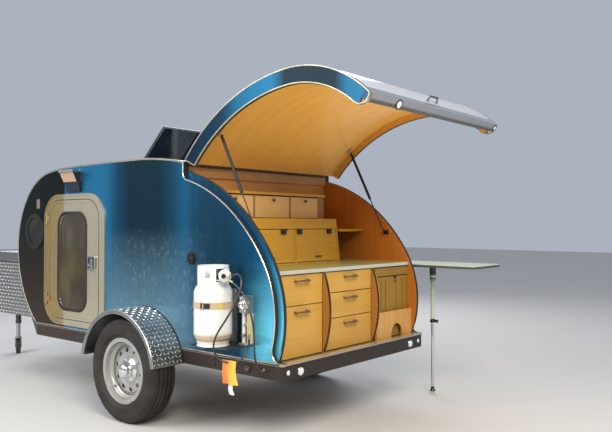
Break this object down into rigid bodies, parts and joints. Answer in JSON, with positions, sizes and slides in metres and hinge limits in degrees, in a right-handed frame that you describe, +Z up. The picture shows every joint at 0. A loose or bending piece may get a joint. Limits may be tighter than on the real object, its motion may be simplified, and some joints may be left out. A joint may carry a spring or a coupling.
{
  "type": "teardrop trailer",
  "caption": "Teardrop camping trailer with a lifted rear hatch over its galley, cabin doors, roof vent, tongue box, gas bottle, side table and swivel jack.",
  "frame": {"origin": "centre of the hitch ball in the coupler", "axes": "+X forward along the tongue, +Y to the trailer's left, +Z up"},
  "size_m": [4.8781, 2.2697, 2.1622],
  "materials": {
    "frame_paint": "satin",
    "bare_aluminium": "brushed",
    "blue_skin": "metallic gloss",
    "roof_skin": "metallic gloss",
    "tread_plate": "diamond plate",
    "birch_ply": "varnished",
    "counter_top": "satin",
    "cream_paint": "painted",
    "stainless": "brushed",
    "black_rubber": "matte",
    "tinted_glass": "smoked",
    "lens": "clear",
    "white_metal": "gloss",
    "steel": "zinc plated",
    "wheel_steel": "silver paint",
    "tyre": "matte",
    "strut_black": "satin",
    "caster_black": "matte",
    "icebox_tan": "satin",
    "table_top": "satin",
    "hose_rubber": "satin"
  },
  "bodies": {
    "root": {"axle": "frame_paint", "bulkhead": "birch_ply", "counter": "counter_top", "coupler": "steel", "cross_members": "frame_paint", "door_frames": "stainless", "fenders": "tread_plate", "floor": "birch_ply", "gas_bracket": "bare_aluminium", "hatch_fixings": "bare_aluminium", "hose_long": "hose_rubber", "hose_short": "hose_rubber", "icebox": "icebox_tan", "lamps": "lens", "lower_cabinet": "birch_ply", "porthole_glass": "tinted_glass", "porthole_rings": "black_rubber", "rear_bumper": "frame_paint", "roof": "roof_skin", "side_rails": "frame_paint", "table": "table_top", "tank": "white_metal", "tongue_box": "tread_plate", "tongue_box_fixings": "bare_aluminium", "tongue_rails": "frame_paint", "upper_cabinet": "birch_ply", "vent_base": "white_metal", "wall_left": "blue_skin", "wall_right": "blue_skin"},
    "wheel_left": {"tyre_left": "tyre", "rim_left": "wheel_steel"},
    "wheel_right": {"tyre_right": "tyre", "rim_right": "wheel_steel"},
    "door_left": {"door_left": "stainless", "door_window_left": "tinted_glass"},
    "door_right": {"door_right": "stainless", "door_window_right": "tinted_glass"},
    "hatch": {"hatch_shell": "blue_skin", "hatch_metalwork": "bare_aluminium"},
    "vent_lid": {"vent_lid": "tinted_glass"},
    "tongue_box_lid": {"tongue_box_lid": "tread_plate"},
    "strut_tube_left": {"strut_tube_left": "strut_black"},
    "strut_tube_right": {"strut_tube_right": "strut_black"},
    "strut_rod_left": {"strut_rod_left": "strut_black"},
    "strut_rod_right": {"strut_rod_right": "strut_black"},
    "jack_tube": {"jack_tube": "steel"},
    "jack_ram": {"jack_ram": "steel"},
    "jack_caster": {"jack_caster": "steel"},
    "jack_wheel": {"jack_wheel": "caster_black"},
    "table_leg": {"table_leg": "steel"},
    "cabinet_door_left": {"cabinet_door_left": "birch_ply"},
    "cabinet_door_right": {"cabinet_door_right": "birch_ply"},
    "drawer_left_high": {"drawer_left_high": "birch_ply"},
    "drawer_left_low": {"drawer_left_low": "birch_ply"},
    "drawer_middle": {"drawer_middle": "birch_ply"},
    "drawer_middle_high": {"drawer_middle_high": "birch_ply"},
    "drawer_middle_low": {"drawer_middle_low": "birch_ply"},
    "shelf_drawer_left": {"shelf_drawer_left": "cream_paint"},
    "shelf_drawer_middle": {"shelf_drawer_middle": "cream_paint"},
    "shelf_drawer_right": {"shelf_drawer_right": "cream_paint"}
  },
  "joints": [
    {"name": "wheel_left", "type": "hinge", "parent": "root", "child": "wheel_left", "pos_m": [-3.06, 0.895, -0.105], "axis": [0, 1, 0], "continuous": true},
    {"name": "door_left", "type": "hinge", "parent": "root", "child": "door_left", "pos_m": [-1.792, 0.775, 0.56], "axis": [0, 0, -1], "range_deg": [0, 100]},
    {"name": "wheel_right", "type": "hinge", "parent": "root", "child": "wheel_right", "pos_m": [-3.06, -0.895, -0.105], "axis": [0, 1, 0], "continuous": true},
    {"name": "door_right", "type": "hinge", "parent": "root", "child": "door_right", "pos_m": [-1.792, -0.775, 0.56], "axis": [0, 0, 1], "range_deg": [0, 100]},
    {"name": "hatch", "type": "hinge", "parent": "root", "child": "hatch", "pos_m": [-3.402, 0, 1.244], "axis": [0, 1, 0], "range_deg": [-65, 0]},
    {"name": "strut_tube_left", "type": "hinge", "parent": "hatch", "child": "strut_tube_left", "pos_m": [-3.67, 0.688, 1.392], "axis": [0, 1, 0], "range_deg": [0, 87.78]},
    {"name": "strut_rod_left", "type": "slide", "parent": "strut_tube_left", "child": "strut_rod_left", "axis": [-0.449, 0, -0.8935], "range_m": [-0.25085, 0]},
    {"name": "strut_tube_right", "type": "hinge", "parent": "hatch", "child": "strut_tube_right", "pos_m": [-3.67, -0.688, 1.392], "axis": [0, 1, 0], "range_deg": [0, 87.78]},
    {"name": "strut_rod_right", "type": "slide", "parent": "strut_tube_right", "child": "strut_rod_right", "axis": [-0.449, 0, -0.8935], "range_m": [-0.25085, 0]},
    {"name": "vent_lid", "type": "hinge", "parent": "root", "child": "vent_lid", "pos_m": [-2.222, 0, 1.326], "axis": [0, 1, 0], "range_deg": [-44, 16]},
    {"name": "tongue_box_lid", "type": "hinge", "parent": "root", "child": "tongue_box_lid", "pos_m": [-1.27, 0, 0.554], "axis": [0, -1, 0], "range_deg": [0, 80]},
    {"name": "drawer_left_high", "type": "slide", "parent": "root", "child": "drawer_left_high", "axis": [-1, 0, 0], "range_m": [0, 0.4]},
    {"name": "drawer_left_low", "type": "slide", "parent": "root", "child": "drawer_left_low", "axis": [-1, 0, 0], "range_m": [0, 0.4]},
    {"name": "drawer_middle", "type": "slide", "parent": "root", "child": "drawer_middle", "axis": [-1, 0, 0], "range_m": [0, 0.4]},
    {"name": "drawer_middle_high", "type": "slide", "parent": "root", "child": "drawer_middle_high", "axis": [-1, 0, 0], "range_m": [0, 0.4]},
    {"name": "drawer_middle_low", "type": "slide", "parent": "root", "child": "drawer_middle_low", "axis": [-1, 0, 0], "range_m": [0, 0.4]},
    {"name": "shelf_drawer_left", "type": "slide", "parent": "root", "child": "shelf_drawer_left", "axis": [-1, 0, 0], "range_m": [0, 0.12]},
    {"name": "shelf_drawer_middle", "type": "slide", "parent": "root", "child": "shelf_drawer_middle", "axis": [-1, 0, 0], "range_m": [0, 0.12]},
    {"name": "shelf_drawer_right", "type": "slide", "parent": "root", "child": "shelf_drawer_right", "axis": [-1, 0, 0], "range_m": [0, 0.12]},
    {"name": "cabinet_door_left", "type": "hinge", "parent": "root", "child": "cabinet_door_left", "pos_m": [-3.737, 0.32, 0.81], "axis": [0, 1, 0], "range_deg": [0, 85]},
    {"name": "cabinet_door_right", "type": "hinge", "parent": "root", "child": "cabinet_door_right", "pos_m": [-3.737, -0.174, 0.81], "axis": [0, 1, 0], "range_deg": [0, 85]},
    {"name": "jack_swing", "type": "hinge", "parent": "root", "child": "jack_tube", "pos_m": [-0.26474, 0.18737, -0.005], "axis": [-0.4544, -0.8908, 0], "range_deg": [-90, 0]},
    {"name": "jack_extend", "type": "slide", "parent": "jack_tube", "child": "jack_ram", "axis": [0, 0, -1], "range_m": [-0.1, 0.055]},
    {"name": "caster_swivel", "type": "hinge", "parent": "jack_ram", "child": "jack_caster", "pos_m": [-0.26474, 0.18737, -0.34], "axis": [0, 0, 1], "continuous": true},
    {"name": "caster_roll", "type": "hinge", "parent": "jack_caster", "child": "jack_wheel", "pos_m": [-0.2398, 0.17465, -0.368], "axis": [0.4544, 0.8908, 0], "continuous": true},
    {"name": "table_leg", "type": "slide", "parent": "root", "child": "table_leg", "axis": [0, 0, -1], "range_m": [-0.22, 0]}
  ],
  "couplings": [
    {"joint": "strut_tube_left", "follows": "hatch", "ratio": -1.3502},
    {"joint": "strut_rod_left", "follows": "hatch", "m_per_rad": 0.22103},
    {"joint": "strut_tube_right", "follows": "hatch", "ratio": -1.3502},
    {"joint": "strut_rod_right", "follows": "hatch", "m_per_rad": 0.22103}
  ]
}
